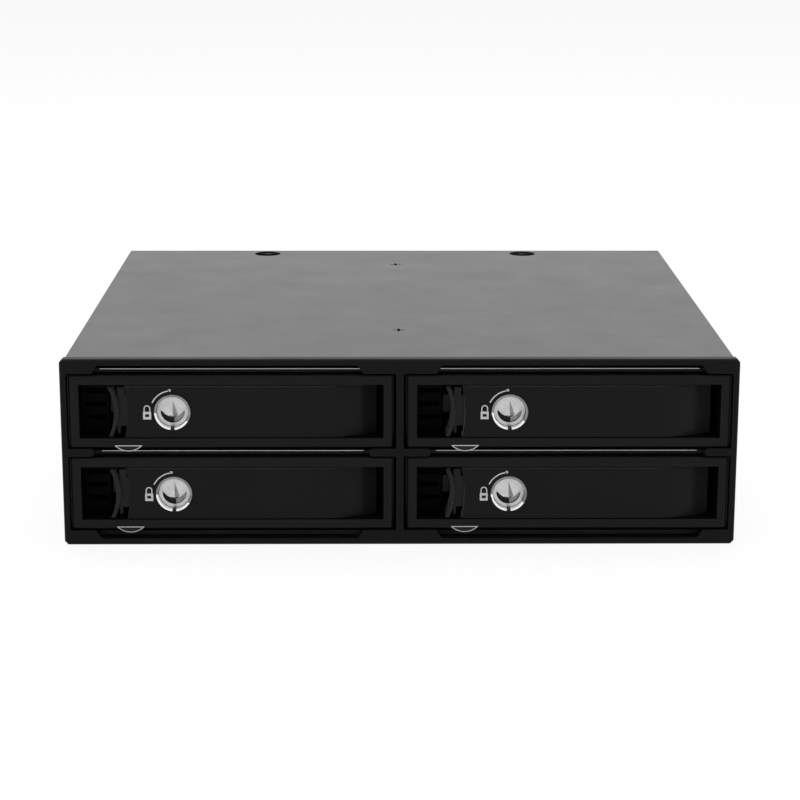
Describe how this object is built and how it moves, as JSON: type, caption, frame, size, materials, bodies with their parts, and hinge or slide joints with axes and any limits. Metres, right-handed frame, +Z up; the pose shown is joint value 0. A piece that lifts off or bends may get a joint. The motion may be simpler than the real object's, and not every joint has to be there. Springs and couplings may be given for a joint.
{
  "type": "hot swap drive cage",
  "caption": "Half-height cage with four locking slide-out trays for 2.5 inch drives, a backplane and a rear fan.",
  "frame": {"origin": "middle of the underside of the overall box: half way across, half way from front to back, at the lowest point", "axes": "+X to the right seen from the front, +Y from the front to the back, +Z up"},
  "size_m": [0.148, 0.1396, 0.042],
  "materials": {
    "black_steel": "satin black powder coat",
    "grey_steel": "matte dark grey coat",
    "bare_steel": "zinc plated sheet",
    "black_moulding": "fine grained black moulding",
    "tray_moulding": "satin black moulding",
    "handle_moulding": "smooth black moulding",
    "clear_plastic": "clear light guide",
    "chromed_lock": "polished chrome",
    "satin_lock": "satin nickel",
    "pin_steel": "plain steel",
    "black_screw": "black zinc",
    "circuit_board": "green solder mask",
    "socket_plastic": "black connector plastic",
    "fan_plastic": "black fan plastic"
  },
  "bodies": {
    "cage": {"lower_chassis": "black_steel", "top_cover": "grey_steel", "rear_panel": "black_steel", "front_bezel": "black_moulding", "centre_wall": "bare_steel", "lower_deck": "bare_steel", "middle_decks": "bare_steel", "upper_deck": "bare_steel", "backplane_board": "circuit_board", "drive_sockets": "socket_plastic", "data_ports": "socket_plastic", "power_ports": "socket_plastic", "fan_frame": "fan_plastic", "cover_screws": "black_screw", "fan_screws": "black_screw"},
    "fan": {"fan_rotor": "fan_plastic"},
    "tray_1": {"tray_1_sled": "black_steel", "tray_1_front": "tray_moulding", "tray_1_screws": "black_screw", "tray_1_light_pipe": "clear_plastic", "tray_1_handle_pin": "pin_steel"},
    "handle_1": {"tray_1_handle": "handle_moulding", "tray_1_latch_spring": "pin_steel", "tray_1_lock_housing": "chromed_lock"},
    "latch_1": {"tray_1_latch": "handle_moulding"},
    "lock_1": {"tray_1_lock_plug": "satin_lock", "tray_1_lock_cam": "pin_steel"},
    "tray_2": {"tray_2_sled": "black_steel", "tray_2_front": "tray_moulding", "tray_2_screws": "black_screw", "tray_2_light_pipe": "clear_plastic", "tray_2_handle_pin": "pin_steel"},
    "handle_2": {"tray_2_handle": "handle_moulding", "tray_2_latch_spring": "pin_steel", "tray_2_lock_housing": "chromed_lock"},
    "latch_2": {"tray_2_latch": "handle_moulding"},
    "lock_2": {"tray_2_lock_plug": "satin_lock", "tray_2_lock_cam": "pin_steel"},
    "tray_3": {"tray_3_sled": "black_steel", "tray_3_front": "tray_moulding", "tray_3_screws": "black_screw", "tray_3_light_pipe": "clear_plastic", "tray_3_handle_pin": "pin_steel"},
    "handle_3": {"tray_3_handle": "handle_moulding", "tray_3_latch_spring": "pin_steel", "tray_3_lock_housing": "chromed_lock"},
    "latch_3": {"tray_3_latch": "handle_moulding"},
    "lock_3": {"tray_3_lock_plug": "satin_lock", "tray_3_lock_cam": "pin_steel"},
    "tray_4": {"tray_4_sled": "black_steel", "tray_4_front": "tray_moulding", "tray_4_screws": "black_screw", "tray_4_light_pipe": "clear_plastic", "tray_4_handle_pin": "pin_steel"},
    "handle_4": {"tray_4_handle": "handle_moulding", "tray_4_latch_spring": "pin_steel", "tray_4_lock_housing": "chromed_lock"},
    "latch_4": {"tray_4_latch": "handle_moulding"},
    "lock_4": {"tray_4_lock_plug": "satin_lock", "tray_4_lock_cam": "pin_steel"}
  },
  "joints": [
    {"name": "fan_spin", "type": "hinge", "parent": "cage", "child": "fan", "pos_m": [0, 0.06025, 0.021], "axis": [0, 1, 0], "continuous": true},
    {"name": "tray_1_slide", "type": "slide", "parent": "cage", "child": "tray_1", "axis": [0, -1, 0], "range_m": [0, 0.125]},
    {"name": "handle_1_turn", "type": "hinge", "parent": "tray_1", "child": "handle_1", "pos_m": [-0.01055, -0.06315, 0.03005], "axis": [0, 0, 1], "range_deg": [0, 90]},
    {"name": "latch_1_press", "type": "slide", "parent": "handle_1", "child": "latch_1", "axis": [1, 0, 0], "range_m": [0, 0.0018], "stiffness_N_per_m": 400, "springref_m": -0.001, "deforming": ["tray_1_latch_spring"]},
    {"name": "lock_1_turn", "type": "hinge", "parent": "handle_1", "child": "lock_1", "pos_m": [-0.04965, -0.06775, 0.03005], "axis": [0, -1, 0], "range_deg": [0, 90]},
    {"name": "tray_2_slide", "type": "slide", "parent": "cage", "child": "tray_2", "axis": [0, -1, 0], "range_m": [0, 0.125]},
    {"name": "handle_2_turn", "type": "hinge", "parent": "tray_2", "child": "handle_2", "pos_m": [0.0631, -0.06315, 0.03005], "axis": [0, 0, 1], "range_deg": [0, 90]},
    {"name": "latch_2_press", "type": "slide", "parent": "handle_2", "child": "latch_2", "axis": [1, 0, 0], "range_m": [0, 0.0018], "stiffness_N_per_m": 400, "springref_m": -0.001, "deforming": ["tray_2_latch_spring"]},
    {"name": "lock_2_turn", "type": "hinge", "parent": "handle_2", "child": "lock_2", "pos_m": [0.024, -0.06775, 0.03005], "axis": [0, -1, 0], "range_deg": [0, 90]},
    {"name": "tray_3_slide", "type": "slide", "parent": "cage", "child": "tray_3", "axis": [0, -1, 0], "range_m": [0, 0.125]},
    {"name": "handle_3_turn", "type": "hinge", "parent": "tray_3", "child": "handle_3", "pos_m": [-0.01055, -0.06315, 0.01155], "axis": [0, 0, 1], "range_deg": [0, 90]},
    {"name": "latch_3_press", "type": "slide", "parent": "handle_3", "child": "latch_3", "axis": [1, 0, 0], "range_m": [0, 0.0018], "stiffness_N_per_m": 400, "springref_m": -0.001, "deforming": ["tray_3_latch_spring"]},
    {"name": "lock_3_turn", "type": "hinge", "parent": "handle_3", "child": "lock_3", "pos_m": [-0.04965, -0.06775, 0.01155], "axis": [0, -1, 0], "range_deg": [0, 90]},
    {"name": "tray_4_slide", "type": "slide", "parent": "cage", "child": "tray_4", "axis": [0, -1, 0], "range_m": [0, 0.125]},
    {"name": "handle_4_turn", "type": "hinge", "parent": "tray_4", "child": "handle_4", "pos_m": [0.0631, -0.06315, 0.01155], "axis": [0, 0, 1], "range_deg": [0, 90]},
    {"name": "latch_4_press", "type": "slide", "parent": "handle_4", "child": "latch_4", "axis": [1, 0, 0], "range_m": [0, 0.0018], "stiffness_N_per_m": 400, "springref_m": -0.001, "deforming": ["tray_4_latch_spring"]},
    {"name": "lock_4_turn", "type": "hinge", "parent": "handle_4", "child": "lock_4", "pos_m": [0.024, -0.06775, 0.01155], "axis": [0, -1, 0], "range_deg": [0, 90]}
  ]
}
